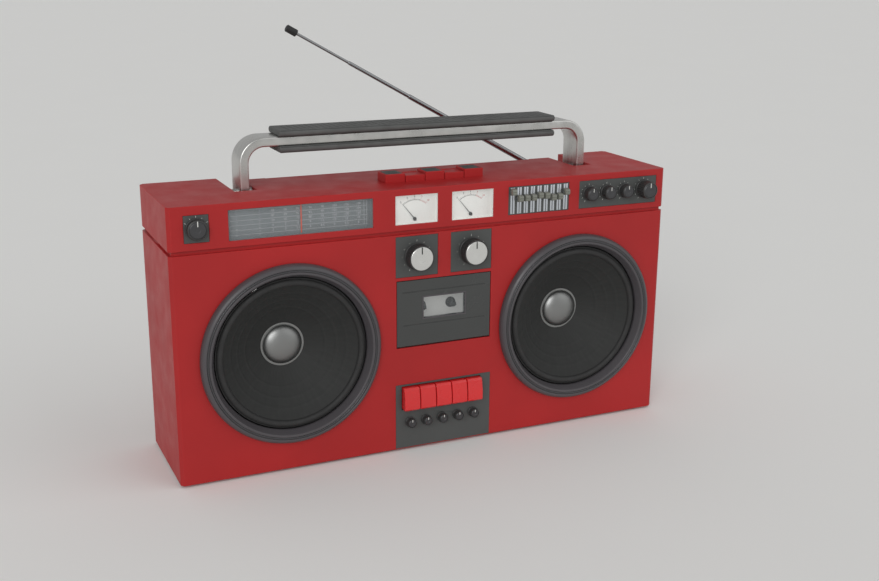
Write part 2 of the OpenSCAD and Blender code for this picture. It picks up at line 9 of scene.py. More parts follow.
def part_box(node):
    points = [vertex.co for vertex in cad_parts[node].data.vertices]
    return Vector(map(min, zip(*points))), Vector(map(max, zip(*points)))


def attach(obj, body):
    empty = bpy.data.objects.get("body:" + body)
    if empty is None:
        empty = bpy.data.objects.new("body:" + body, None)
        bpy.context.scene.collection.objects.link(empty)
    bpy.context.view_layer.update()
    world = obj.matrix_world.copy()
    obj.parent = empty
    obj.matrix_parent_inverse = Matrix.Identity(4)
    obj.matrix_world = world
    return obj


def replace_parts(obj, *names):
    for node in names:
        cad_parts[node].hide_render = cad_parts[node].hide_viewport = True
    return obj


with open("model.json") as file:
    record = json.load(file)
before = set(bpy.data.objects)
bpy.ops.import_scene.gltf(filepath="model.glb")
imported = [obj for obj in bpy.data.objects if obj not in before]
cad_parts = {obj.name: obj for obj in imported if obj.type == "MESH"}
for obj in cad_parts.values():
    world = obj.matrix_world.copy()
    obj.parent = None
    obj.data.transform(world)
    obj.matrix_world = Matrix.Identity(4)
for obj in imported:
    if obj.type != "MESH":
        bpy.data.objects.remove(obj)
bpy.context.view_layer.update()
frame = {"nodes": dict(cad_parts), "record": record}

MM = 0.001
SCENE = bpy.context.scene

# ---- where things are, from the frame (millimetres) ----

BODY_OF = {node: body for body, nodes in frame["record"]["behaviour"]["bodies"].items() for node in nodes}
JOINT_AT = {joint["name"]: Vector(joint["pos_m"]) / MM for joint in frame["record"]["behaviour"]["joints"]
            if joint["type"] == "hinge"}


def box_mm(node):
    low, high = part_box(node)
    return low / MM, high / MM


def middle(node):
    low, high = box_mm(node)
    return (low + high) / 2


FRONT_Y = box_mm("lower_front_cabinet")[0].y
BACK_Y = box_mm("lower_rear_cabinet")[1].y
CENTER_X = middle("handle_grips").x
SPEAKER_Z = middle("speaker_rims").z
BAND_Z = middle("clear_windows").z

# Printed, moulded and cut details inside the nodes, whose places the frame doesn't give.
DIAL_X = (-268.0, -87.0)
METER_X = ((-57.5, 0.5), (19.8, 78.7))
TRAY_Y = FRONT_Y + 9.0
INLAY_Y = FRONT_Y + 0.6
PRINT_Y = TRAY_Y - 0.3
PLATE_HALF_H = 18.0
METER_PIVOT_Z = BAND_Z - 13.5
NEEDLE_SWEEP = 40.0
SPEAKER_X = {"left": -195.0, "right": 205.0}
CONE_FLOOR = -44.0
INLET_X, INLET_Z = -250.0, 60.0
BLANK_X, BLANK_Z = (176.0, 262.0), (60.0, 96.0)
STRAP_T = 12.0
STRAP_BEND_R = 26.0
WINDOW_Z = 193.0
WINDOW_W, WINDOW_H = 58.0, 27.3
ANTENNA_LEAN = 29.0


# ---- node materials ----

def linear(value):
    value = value / 255
    return value / 12.92 if value <= 0.04045 else ((value + 0.055) / 1.055) ** 2.4


def rgb(r, g, b):
    return (linear(r), linear(g), linear(b), 1.0)


def shaded(color, factor):
    return tuple(min(1.0, c * factor) for c in color[:3]) + (1.0,)


class Shader:
    """A material under construction: its Principled shader and short ways to add nodes."""

    def __init__(self, name):
        self.material = bpy.data.materials.new(name)
        self.material.use_nodes = True
        self.tree = self.material.node_tree
        self.principled = self.tree.nodes["Principled BSDF"]
        self.coords = self.tree.nodes.new("ShaderNodeTexCoord")

    def set(self, **values):
        for key, value in values.items():
            self.principled.inputs[key.replace("_", " ")].default_value = value

    def link(self, source, target):
        self.tree.links.new(source, target)

    def node(self, kind, inputs=None, **settings):
        made = self.tree.nodes.new(kind)
        for key, value in settings.items():
            setattr(made, key, value)
        for key, value in (inputs or {}).items():
            if isinstance(value, bpy.types.NodeSocket):
                self.link(value, made.inputs[key])
            else:
                made.inputs[key].default_value = value
        return made

    def stretched(self, scale, space="Object"):
        inputs = {"Vector": self.coords.outputs[space], "Scale": scale}
        return self.node("ShaderNodeMapping", inputs).outputs[0]

    def noise(self, scale, detail=3.0, vector=None):
        vector = vector or self.coords.outputs["Object"]
        inputs = {"Vector": vector, "Scale": scale, "Detail": detail}
        return self.node("ShaderNodeTexNoise", inputs).outputs[0]

    def ramp(self, value, low, high, out_low, out_high):
        inputs = {"Value": value, "From Min": low, "From Max": high, "To Min": out_low, "To Max": out_high}
        return self.node("ShaderNodeMapRange", inputs).outputs[0]

    def mix(self, factor, first, second):
        made = self.node("ShaderNodeMix", data_type="RGBA")
        for index, value in ((0, factor), (6, first), (7, second)):
            if isinstance(value, bpy.types.NodeSocket):
                self.link(value, made.inputs[index])
            else:
                made.inputs[index].default_value = value
        return made.outputs[2]

    def bump(self, height, distance, strength=1.0, normal=None):
        inputs = {"Height": height, "Distance": distance, "Strength": strength}
        if normal:
            inputs["Normal"] = normal
        return self.node("ShaderNodeBump", inputs).outputs[0]

    def edge_mask(self, radius):
        """1 where the surface turns over an edge, 0 on flat stretches."""
        rounded = self.node("ShaderNodeBevel", {"Radius": radius}, samples=4).outputs[0]
        plain = self.node("ShaderNodeNewGeometry").outputs["Normal"]
        dot = self.node("ShaderNodeVectorMath", {0: rounded, 1: plain}, operation="DOT_PRODUCT")
        return self.ramp(dot.outputs["Value"], 0.995, 0.93, 0.0, 1.0)


def moulded(name, color, rough=0.45, grain=0.00035, depth=0.00003, wear=0.0, coat=0.0, shine=0.5):
    """Moulded plastic: fine spark-eroded grain, slight colour drift, uneven gloss, paler rubbed edges."""
    s = Shader(name)
    drift = s.ramp(s.noise(9.0, 5.0), 0.3, 0.7, 0.0, 1.0)
    tone = s.mix(drift, shaded(color, 0.93), shaded(color, 1.07))
    if wear:
        patchy = s.ramp(s.noise(140.0, 4.0), 0.42, 0.62, 0.0, wear)
        rubbed = s.node("ShaderNodeMath", {0: s.edge_mask(0.0012), 1: patchy}, operation="MULTIPLY")
        tone = s.mix(rubbed.outputs[0], tone, shaded(color, 1.9))
    s.link(tone, s.principled.inputs["Base Color"])
    s.link(s.ramp(s.noise(35.0, 4.0), 0.3, 0.7, rough - 0.06, rough + 0.08), s.principled.inputs["Roughness"])
    s.link(s.bump(s.noise(1 / grain, 2.0), depth), s.principled.inputs["Normal"])
    s.set(Coat_Weight=coat, Coat_Roughness=0.12, Specular_IOR_Level=shine)
    return s.material


def brushed(name, color, rough, along):
    """Satin metal with fine scratches; along stretches them, in noise cells per metre on each axis."""
    s = Shader(name)
    streaks = s.noise(1.0, 4.0, s.stretched(along))
    tone = s.mix(s.ramp(streaks, 0.3, 0.7, 0.0, 1.0), shaded(color, 0.86), shaded(color, 1.1))
    s.link(tone, s.principled.inputs["Base Color"])
    s.link(s.ramp(streaks, 0.3, 0.7, rough - 0.07, rough + 0.1), s.principled.inputs["Roughness"])
    s.link(s.bump(streaks, 0.00002), s.principled.inputs["Normal"])
    s.set(Metallic=1.0)
    return s.material


def spun(name, color, rough=0.28):
    """Turned metal: rings round the middle of a lathed piece, whose UV holds its radius in millimetres."""
    s = Shader(name)
    rings = s.noise(1.0, 3.0, s.stretched((0.0, 9.0, 0.0), "UV"))
    tone = s.mix(rings, shaded(color, 0.82), shaded(color, 1.12))
    s.link(tone, s.principled.inputs["Base Color"])
    s.link(s.ramp(rings, 0.3, 0.7, rough - 0.06, rough + 0.08), s.principled.inputs["Roughness"])
    s.link(s.bump(rings, 0.00004), s.principled.inputs["Normal"])
    s.set(Metallic=1.0)
    return s.material


def chrome(name, color, rough):
    """Plated metal with finger smudges."""
    s = Shader(name)
    smudge = s.noise(60.0, 5.0)
    s.link(s.mix(smudge, shaded(color, 0.92), shaded(color, 1.05)), s.principled.inputs["Base Color"])
    s.link(s.ramp(smudge, 0.35, 0.7, rough, rough + 0.12), s.principled.inputs["Roughness"])
    s.link(s.bump(s.noise(900.0, 2.0), 0.000005), s.principled.inputs["Normal"])
    s.set(Metallic=1.0)
    return s.material


def pulp(name, color):
    """Pressed paper cone: short fibres, faint radial drag marks and a coated, uneven gloss."""
    s = Shader(name)
    fibres = s.noise(1500.0, 6.0)
    drag = s.noise(1.0, 3.0, s.stretched((90.0, 0.05, 0.0), "UV"))
    tone = s.mix(s.ramp(fibres, 0.35, 0.65, 0.0, 1.0), shaded(color, 0.72), shaded(color, 1.25))
    tone = s.mix(s.ramp(drag, 0.4, 0.7, 0.0, 0.35), tone, shaded(color, 1.6))
    s.link(tone, s.principled.inputs["Base Color"])
    s.link(s.ramp(fibres, 0.3, 0.7, 0.62, 0.82), s.principled.inputs["Roughness"])
    first = s.bump(fibres, 0.00008)
    s.link(s.bump(drag, 0.00012, 0.6, first), s.principled.inputs["Normal"])
    return s.material


def rubber(name, color, pebble=0.0011, depth=0.00012):
    """Dusty rubber with a pebbled skin, one cell per pebble metres."""
    s = Shader(name)
    inputs = {"Vector": s.coords.outputs["Object"], "Scale": 1 / pebble}
    cells = s.node("ShaderNodeTexVoronoi", inputs).outputs[0]
    dust = s.ramp(s.noise(50.0, 6.0), 0.45, 0.75, 0.0, 0.35)
    s.link(s.mix(dust, color, shaded(color, 1.7)), s.principled.inputs["Base Color"])
    s.link(s.ramp(s.noise(80.0, 3.0), 0.3, 0.7, 0.6, 0.78), s.principled.inputs["Roughness"])
    s.link(s.bump(cells, depth, 0.5), s.principled.inputs["Normal"])
    return s.material


def pane(name, color, alpha):
    """Clear acrylic pane: mostly open, glossy, with faint hairline scratches."""
    s = Shader(name)
    hair = s.noise(1.0, 5.0, s.stretched((60.0, 60.0, 1500.0)))
    s.link(s.ramp(hair, 0.4, 0.75, 0.03, 0.16), s.principled.inputs["Roughness"])
    s.link(s.mix(hair, shaded(color, 0.95), color), s.principled.inputs["Base Color"])
    s.set(Alpha=alpha)
    return s.material


def painted_glow_plate(name, color, glow):
    """Printed plate that glows faintly, painted light that makes it read brighter, faintly cloudy, with a
    fine specked gloss.
    """
    s = Shader(name)
    speck = s.noise(700.0, 3.0)
    cloud = s.noise(22.0, 3.0)
    tone = s.mix(s.ramp(cloud, 0.3, 0.7, 0.0, 1.0), shaded(color, 0.93), shaded(color, 1.04))
    s.link(tone, s.principled.inputs["Base Color"])
    s.link(tone, s.principled.inputs["Emission Color"])
    # painted light: the plate glows by itself, there is no lamp behind it
    s.set(Emission_Strength=glow)
    s.link(s.ramp(speck, 0.3, 0.7, 0.5, 0.68), s.principled.inputs["Roughness"])
    s.link(s.bump(speck, 0.00001), s.principled.inputs["Normal"])
    return s.material


RED = rgb(170, 33, 34)
CABINET = moulded("cabinet_red", RED, 0.46, wear=0.5, shine=0.35)
KEY_RED = moulded("key_red", rgb(214, 34, 36), 0.25, grain=0.0012, depth=0.00001, wear=0.35, coat=0.5)
INLAY = moulded("inlay_grey", rgb(74, 76, 75), 0.5, grain=0.00025)
KNOB = moulded("knob_grey", rgb(52, 52, 52), 0.42, wear=0.4)
DOOR = moulded("door_dark", rgb(58, 60, 59), 0.22, grain=0.001, depth=0.00001, coat=0.4)
RIM = moulded("rim_black", rgb(76, 73, 76), 0.36, wear=0.35)
DARK = moulded("deck_grey", rgb(34, 34, 35), 0.5)
SLIDER = moulded("slider_grey", rgb(122, 124, 115), 0.4, wear=0.3)
REEL = moulded("reel_dark", rgb(40, 40, 40), 0.4)
POINTER = moulded("pointer_red", rgb(215, 70, 30), 0.4)
PRINT_WHITE = moulded("print_white", rgb(225, 225, 220), 0.55)
PRINT_GREY = moulded("print_grey", rgb(176, 179, 180), 0.6)
PRINT_BLACK = moulded("print_black", rgb(30, 30, 30), 0.6)
PRINT_RED = moulded("print_red", rgb(190, 35, 30), 0.6)
BOARD = moulded("board_green", rgb(30, 90, 45), 0.35)
CELL = moulded("cell_blue", rgb(60, 80, 120), 0.3)
CONE = pulp("cone_paper", rgb(38, 39, 38))
ROLL = rubber("surround_foam", rgb(40, 40, 40), 0.0016, 0.00006)
GRIP = rubber("grip_grey", rgb(84, 85, 84))
FOOT = rubber("foot_rubber", rgb(30, 30, 30))
STRAP = brushed("handle_silver", rgb(206, 206, 203), 0.3, (40.0, 2600.0, 40.0))
TRACK = brushed("track_silver", rgb(214, 218, 224), 0.3, (3000.0, 40.0, 60.0))
STEEL = brushed("driver_steel", rgb(120, 120, 122), 0.4, (600.0, 600.0, 600.0))
SPUN = spun("spun_silver", rgb(232, 232, 229))
CAP = spun("cap_silver", rgb(150, 151, 150), 0.38)
SPUN_DARK = spun("spun_dark", rgb(90, 90, 92), 0.35)
SCREW = chrome("screw_steel", rgb(190, 190, 188), 0.25)
ROD = chrome("antenna_chrome", rgb(150, 151, 153), 0.2)
WINDOW = pane("window_clear", rgb(215, 222, 224), 0.06)
# These three plates glow faintly: painted light that brightens the dial, the meter faces and the cassette
# well.
DIAL = painted_glow_plate("dial_grey", rgb(108, 114, 117), 0.08)
METER = painted_glow_plate("meter_white", rgb(222, 222, 218), 0.2)
WELL_PLATE = painted_glow_plate("well_plate", rgb(185, 185, 182), 0.28)


# ---- mesh helpers ----

def set_sharp(bm, degrees):
    """Shades smooth over edges that turn less than degrees, and hard over the rest."""
    limit = math.radians(degrees)
    for face in bm.faces:
        face.smooth = True
    for edge in bm.edges:
        edge.smooth = len(edge.link_faces) == 2 and edge.calc_face_angle(0.0) < limit


def add_piece(name, bm, material, body, sharp=32.0):
    """Makes an object of the mesh and rides it on a body."""
    bmesh.ops.recalc_face_normals(bm, faces=bm.faces)
    set_sharp(bm, sharp)
    mesh = bpy.data.meshes.new(name)
    bm.to_mesh(mesh)
    bm.free()
    mesh.materials.append(material)
    piece = bpy.data.objects.new(name, mesh)
    SCENE.collection.objects.link(piece)
    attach(piece, body)
    return piece


def on_box(edge, low, high):
    """True for an edge that lies in one side of the box."""
    near = 0.02 * MM
    start, end = (vert.co for vert in edge.verts)
    return any(abs(start[axis] - side[axis]) < near and abs(end[axis] - side[axis]) < near
               for axis in range(3) for side in (low, high))


def refined(node, material, bevel, segments=3, angle=30.0, inner=1.0, cut=None):
    """The node's own shape, with the edges that turn more than angle rounded by bevel millimetres.

    Edges inside the node's box get inner times that. With inner 0 they stay hard.
    """
    low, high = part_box(node)
    bm = bmesh.new()
    bm.from_mesh(frame["nodes"][node].data)
    bmesh.ops.remove_doubles(bm, verts=bm.verts, dist=0.002 * MM)
    if cut:
        cut(bm)
    weight = bm.edges.layers.float.new("bevel_weight_edge")
    kept_hard = []
    for number, edge in enumerate(bm.edges):
        if len(edge.link_faces) == 2 and edge.calc_face_angle(0.0) > math.radians(angle):
            edge[weight] = 1.0 if on_box(edge, low, high) else inner
            if edge[weight] == 0.0:
                kept_hard.append(number)
    piece = add_piece(node + "_finish", bm, material, BODY_OF[node], 180.0)
    for number in kept_hard:
        piece.data.edges[number].use_edge_sharp = True
    rounding = piece.modifiers.new("rounding", "BEVEL")
    rounding.width = bevel * MM
    rounding.segments = segments
    rounding.limit_method = "WEIGHT"
    rounding.use_clamp_overlap = False
    piece.modifiers.new("even_normals", "WEIGHTED_NORMAL").keep_sharp = True
    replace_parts(piece, node)
    return piece


def slab(bm, low, high, bevel, segments=2):
    """Adds a block with rounded edges, corners in millimetres."""
    low, high = Vector(low), Vector(high)
    made = bmesh.ops.create_cube(bm, size=1.0)["verts"]
    for vert in made:
        vert.co = ((low + high) / 2 + vert.co * (high - low)) * MM
    edges = list({edge for vert in made for edge in vert.link_edges})
    bmesh.ops.bevel(bm, geom=edges, offset=bevel * MM, segments=segments, affect="EDGES", profile=0.5,
                    clamp_overlap=True)


def border(bm, low, high, width, near, far, bevel):
    """Adds four bars round the (x, z) opening from low to high, between two y."""
    for x0, x1, z0, z1 in ((low[0] - width, high[0] + width, low[1] - width, low[1]),
                           (low[0] - width, high[0] + width, high[1], high[1] + width),
                           (low[0] - width, low[0], low[1], high[1]),
                           (high[0], high[0] + width, low[1], high[1])):
        slab(bm, (x0, near, z0), (x1, far, z1), bevel)


def prism(bm, outline, low_x, high_x, bevel, segments=2):
    """Adds a bar of the (y, z) outline between two x, with its edges rounded, all in millimetres."""
    first = len(bm.verts)
    for x in (low_x, high_x):
        for y, z in outline:
            bm.verts.new(Vector((x, y, z)) * MM)
    bm.verts.ensure_lookup_table()
    count = len(outline)
    ends = [[bm.verts[first + side * count + index] for index in range(count)] for side in (0, 1)]
    faces = [bm.faces.new(ends[0]), bm.faces.new(list(reversed(ends[1])))]
    for index in range(count):
        after = (index + 1) % count
        faces.append(bm.faces.new((ends[0][after], ends[0][index], ends[1][index], ends[1][after])))
    edges = list({edge for face in faces for edge in face.edges})
    bmesh.ops.bevel(bm, geom=edges, offset=bevel * MM, segments=segments, affect="EDGES", profile=0.5,
                    clamp_overlap=True)


def towards_listener(x, z, y=None):
    """Local +Z comes out of the front at (x, z)."""
    depth = FRONT_Y if y is None else y
    return Matrix.Translation(Vector((x, depth, z)) * MM) @ Matrix.Rotation(math.radians(90), 4, "X")


def lathe(profile, place, steps, wave=None, spread=0.0):
    """Turns a (radius, height) outline in millimetres round local Z. UVs hold the angle and the radius.

    wave gives how far each point of the outline draws in at an angle. spread pulls the two halves apart
    along local X, which turns each round into a slot with round ends.
    """
    bm = bmesh.new()
    uv = bm.loops.layers.uv.new("UVMap")
    rings = []
    for index, (radius, height) in enumerate(profile):
        ring = []
        for step in range(steps):
            angle = 2 * math.pi * step / steps
            r = radius - (wave(angle, index) if wave else 0.0)
            x = r * math.cos(angle) + math.copysign(spread, math.cos(angle))
            ring.append(bm.verts.new(place @ (Vector((x, r * math.sin(angle), height)) * MM)))
        rings.append(ring)
    for index in range(len(profile) - 1):
        for step in range(steps):
            after = (step + 1) % steps
            face = bm.faces.new((rings[index][step], rings[index][after], rings[index + 1][after],
                                 rings[index + 1][step]))
            corners = ((step, index), (step + 1, index), (step + 1, index + 1), (step, index + 1))
            for loop, (turn, ring) in zip(face.loops, corners):
                loop[uv].uv = (turn / steps, profile[ring][0])
    bmesh.ops.remove_doubles(bm, verts=bm.verts, dist=0.0005 * MM)
    return bm


def rounded(points, radius=0.8, steps=4):
    """The outline with each corner turned into a short arc."""
    out = [points[0]]
    for before, corner, after in zip(points, points[1:], points[2:]):
        a, b, c = Vector(before), Vector(corner), Vector(after)
        reach = min(radius, (a - b).length * 0.45, (c - b).length * 0.45)
        start, end = b + (a - b).normalized() * reach, b + (c - b).normalized() * reach
        for step in range(steps + 1):
            t = step / steps
            out.append(tuple(start * (1 - t) ** 2 + b * 2 * t * (1 - t) + end * t ** 2))
    return out + [points[-1]]


def lettering(bm, text, x, z, y, height):
    """Adds flat numerals, centred on (x, z), facing the listener."""
    curve = bpy.data.curves.new("numeral", "FONT")
    curve.body = text
    curve.size = height * MM * 1.35
    curve.extrude = 0.03 * MM
    curve.align_x = "CENTER"
    curve.align_y = "CENTER"
    shape = bpy.data.objects.new("numeral", curve)
    SCENE.collection.objects.link(shape)
    bpy.context.view_layer.update()
    mesh = bpy.data.meshes.new_from_object(shape.evaluated_get(bpy.context.evaluated_depsgraph_get()))
    mesh.transform(towards_listener(x, z, y))
    bm.from_mesh(mesh)
    bpy.data.objects.remove(shape)
    bpy.data.curves.remove(curve)
    bpy.data.meshes.remove(mesh)


def mark(bm, x, z, width, height, y, lean=0.0):
    """Adds one printed line, centred on (x, z) and leaning by an angle from upright."""
    before = len(bm.verts)
    slab(bm, (-width / 2, -0.06, -height / 2), (width / 2, 0.0, height / 2), 0.02, 1)
    bm.verts.ensure_lookup_table()
    turn = Matrix.Translation(Vector((x, y, z)) * MM) @ Matrix.Rotation(lean, 4, "Y")
    bmesh.ops.transform(bm, matrix=turn, verts=bm.verts[before:])


# ---- casing ----

def build_casing():
    refined("lower_front_cabinet", CABINET, 0.6, inner=0.4)
    refined("lower_rear_cabinet", CABINET, 0.6, inner=0.0)
    refined("control_housing", CABINET, 0.8, inner=0.5)
    refined("battery_cover", CABINET, 0.35)
    refined("fascia_plates", INLAY, 0.25)
    refined("clear_windows", WINDOW, 0.25)
    refined("tape_deck", DARK, 0.4, inner=0.6)
    refined("feet", FOOT, 0.8)
    refined("fasteners", SCREW, 0.2)
    refined("main_board", BOARD, 0.3)
    refined("batteries", CELL, 0.8)
    refined("speaker_drivers", STEEL, 0.4)


def build_back_trim():
    """Raised frame round the battery cover, a blank plate and the rim of the mains inlet."""
    low, high = box_mm("battery_cover")
    near, gap = BACK_Y - 0.3, 1.5
    bm = bmesh.new()
    border(bm, (low.x - gap, low.z - gap), (high.x + gap, high.z + gap), 2.5, near, BACK_Y + 0.9, 0.4)
    add_piece("back_frame", bm, CABINET, "cabinet")
    bm = bmesh.new()
    slab(bm, (BLANK_X[0], near, BLANK_Z[0]), (BLANK_X[1], BACK_Y + 0.5, BLANK_Z[1]), 0.3)
    add_piece("blank_plate", bm, STEEL, "cabinet")
    rim = rounded([(5.2, -0.3), (5.2, 0.9), (8.4, 0.9), (8.4, -0.3), (5.2, -0.3)], 0.5)
    place = Matrix.Translation(Vector((INLET_X, BACK_Y, INLET_Z)) * MM)
    place = place @ Matrix.Rotation(math.radians(-90), 4, "X")
    add_piece("inlet_rim", lathe(rim, place, 64, spread=4.0), DARK, "cabinet", 50)


# ---- speakers ----

def build_rims():
    rim = [(98.2, -2.9), (98.2, 0.0), (99.0, 1.5), (101.2, 6.0), (103.0, 9.6), (105.6, 9.9), (106.2, 8.9),
           (108.6, 8.9), (109.2, 9.9), (110.8, 9.9), (113.2, 8.0), (115.0, 5.0), (115.4, 2.0), (115.4, 0.05),
           (100.7, 0.05), (100.7, -2.9), (98.2, -2.9)]
    for side, x in SPEAKER_X.items():
        bm = lathe(rounded(rim, 0.7), towards_listener(x, SPEAKER_Z), 192)
        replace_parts(add_piece("rim_" + side, bm, RIM, "cabinet", 50), "speaker_rims")
    bead = [(106.0, 8.95), (106.4, 9.7), (107.4, 9.95), (108.4, 9.7), (108.8, 8.95)]
    for side, x in SPEAKER_X.items():
        bm = lathe(rounded(bead, 0.3), towards_listener(x, SPEAKER_Z), 192)
        add_piece("rim_bead_" + side, bm, SPUN_DARK, "cabinet", 50)


def build_cone(side, x):
    """Flared paper cone with moulded rings, a half-round surround and a domed cap, all riding on one body."""
    place = towards_listener(x, SPEAKER_Z)
    node = "cone_" + side
    inner_r, outer_r, lip = 27.0, 86.5, -2.0
    cone = []
    for step in range(49):
        t = step / 48
        height = CONE_FLOOR + (lip - CONE_FLOOR) * (0.72 * t + 0.28 * t * t)
        for ring_at in (0.42, 0.62, 0.8):
            height += 0.55 * math.exp(-((t - ring_at) / 0.014) ** 2)
        cone.append((inner_r + (outer_r - inner_r) * t, height))
    back = [(radius, height - 0.9) for radius, height in reversed(cone)]
    bm = lathe(cone + back + [cone[0]], place, 192)
    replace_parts(add_piece(node + "_paper", bm, CONE, node, 60), node)

    roll = [(85.4, -3.0), (86.6, -2.0)]
    for step in range(17):
        angle = math.pi * step / 16
        roll.append((91.0 - 4.2 * math.cos(angle), -1.6 + 4.2 * math.sin(angle)))
    roll += [(96.6, -1.7), (96.8, -2.4), (85.4, -3.4), (85.4, -3.0)]
    add_piece(node + "_surround", lathe(roll, place, 192), ROLL, node, 60)

    dome = [(28.6, CONE_FLOOR - 0.2), (28.2, CONE_FLOOR + 0.9), (26.4, CONE_FLOOR + 1.0)]
    for step in range(20):
        angle = math.pi / 2 * step / 20
        dome.append((25.6 * math.cos(angle), CONE_FLOOR + 0.9 + 10.5 * math.sin(angle)))
    dome.append((0.02, CONE_FLOOR + 11.4))
    add_piece(node + "_cap", lathe(dome, place, 96), CAP, node, 60)


# ---- knobs ----

def build_knob(node, radius, height, flutes, skirt, face, disc=0.79):
    """Fluted knob with a rounded crown, a turned metal face of disc times its radius, and a pointer line."""
    at = middle(node)
    place = towards_listener(at.x, at.z, FRONT_Y - 0.4)
    side = [(radius + skirt, 0.0), (radius + skirt, 1.1), (radius + skirt - 0.5, 1.6), (radius, 1.7),
            (radius, height * 0.5), (radius - 0.1, height - 2.0), (radius - 0.5, height - 1.0),
            (radius * (disc + 0.09), height - 0.25), (radius * (disc + 0.05), height),
            (radius * (disc + 0.02), height), (radius * (disc + 0.01), height - 0.5), (0.02, height - 0.5)]

    shaft = [(3.0, -15.5), (3.0, 0.0)]
    gripped = range(len(shaft) + 3, len(shaft) + 6)

    def wave(angle, index):
        return radius * 0.06 * (0.5 - 0.5 * math.cos(flutes * angle)) ** 0.6 if index in gripped else 0.0

    bm = lathe(shaft + side, place, flutes * 8, wave)
    piece = add_piece(node + "_body", bm, KNOB, node, 38)
    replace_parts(piece, node)
    rim = radius * disc
    dished = [(0.02, height - 0.2), (rim * 0.3, height - 0.2), (rim * 0.34, height), (rim - 0.5, height),
              (rim, height - 0.45)]
    add_piece(node + "_face", lathe(rounded(dished, 0.3), place, 96), face, node, 40)
    bm = bmesh.new()
    width = max(0.9, radius * 0.09)
    slab(bm, (-width / 2, radius * 0.34, height - 0.1), (width / 2, radius * 0.86, height + 0.12), 0.1)
    bmesh.ops.transform(bm, matrix=place, verts=bm.verts)
    add_piece(node + "_pointer", bm, PRINT_BLACK if face == SPUN else PRINT_WHITE, node)


def knob_ticks(bm, node, radius, count, sweep=150.0):
    """Adds a printed ring of ticks round a knob, sweep degrees to each side of the top."""
    at = middle(node)
    for index in range(count):
        angle = math.radians(-sweep + 2 * sweep * index / (count - 1))
        length = 2.2 if index in (0, count - 1, count // 2) else 1.3
        reach = radius + length / 2
        mark(bm, at.x + reach * math.sin(angle), at.z + reach * math.cos(angle), 0.4, length, INLAY_Y, angle)


def build_knobs():
    build_knob("function_knob", 12.4, 8.0, 30, 0.8, SPUN_DARK)
    for node in ("volume_knob", "tuning_knob"):
        build_knob(node, 17.2, 16.0, 36, 0.3, SPUN, 0.88)
    for index in (1, 2, 3):
        build_knob("tone_knob_%d" % index, 9.2, 12.0, 22, 0.8, SPUN_DARK)
    build_knob("balance_knob", 11.7, 18.0, 26, 0.8, SPUN_DARK)
    for index in range(1, 6):
        build_knob("trim_knob_%d" % index, 6.4, 9.0, 16, 0.5, SPUN_DARK)
    bm = bmesh.new()
    knob_ticks(bm, "function_knob", 13.6, 5, 60.0)
    knob_ticks(bm, "volume_knob", 19.0, 11)
    knob_ticks(bm, "tuning_knob", 19.0, 11)
    for index in (1, 2, 3):
        knob_ticks(bm, "tone_knob_%d" % index, 10.7, 11)
    knob_ticks(bm, "balance_knob", 13.2, 11)
    add_piece("knob_scales", bm, PRINT_WHITE, "cabinet")


# ---- keys and sliders ----

def build_key_pad(node):
    """Grey pad with ribs across it, let into a key's top."""
    low, high = box_mm(node)
    rim, rib_edge, rib_pitch = 2.6, 5.0, 4.5
    bm = bmesh.new()
    slab(bm, (low.x + rim, low.y + rim, high.z - 1.0), (high.x - rim, high.y - rim, high.z + 0.1), 0.35, 3)
    for step in range(int((high.y - low.y - 12) / rib_pitch) + 1):
        y = low.y + 6 + step * rib_pitch
        slab(bm, (low.x + rib_edge, y, high.z - 0.2), (high.x - rib_edge, y + 1.2, high.z + 0.45), 0.2)
    add_piece(node + "_pad", bm, INLAY, node)


def build_keys():
    for index in range(1, 6):
        refined("tape_key_%d" % index, KEY_RED, 0.9, 4)
        node = "deck_key_%d" % index
        refined(node, CABINET, 0.8, 4)
        if index % 2 == 1:
            build_key_pad(node)


def build_sliders():
    """Caps with two finger rolls on a thin stem each, over a pair of bright strips."""
    strips = bmesh.new()
    for index in range(1, 10):
        node = "eq_slider_%d" % index
        low, high = box_mm(node)
        x, z = middle(node).x, low.z
        rear, front = FRONT_Y - 0.4, low.y
        outline = ((rear, z), (front + 1.1, z + 1), (front, z + 3.2), (front, z + 4.0),
                   (front + 1.0, z + 4.7), (front, z + 5.4), (front, z + 6.2), (front + 1.1, z + 8.4),
                   (rear, high.z))
        bm = bmesh.new()
        prism(bm, outline, x - 3.3, x + 3.3, 0.45)
        slab(bm, (x - 0.3, rear - 0.5, z + 2.5), (x + 0.3, high.y, high.z - 2.5), 0.12)
        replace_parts(add_piece(node + "_cap", bm, SLIDER, node, 40), node)
        for sign in (-1, 1):
            inner, outer = sorted((x + sign * 0.4, x + sign * 3.1))
            slab(strips, (inner, INLAY_Y - 0.45, BAND_Z - 17.2), (outer, INLAY_Y + 0.1, BAND_Z + 17.2), 0.2)
    add_piece("slider_tracks", strips, TRACK, "cabinet")


# ---- dial and meters ----

def scale_plate(name, span, material):
    """Thin printed plate over one of the trays behind the clear panes."""
    bm = bmesh.new()
    corner = (span[0] + 0.5, PRINT_Y, BAND_Z - PLATE_HALF_H)
    slab(bm, corner, (span[1] - 0.5, TRAY_Y + 0.2, BAND_Z + PLATE_HALF_H), 0.1)
    add_piece(name, bm, material, "cabinet")


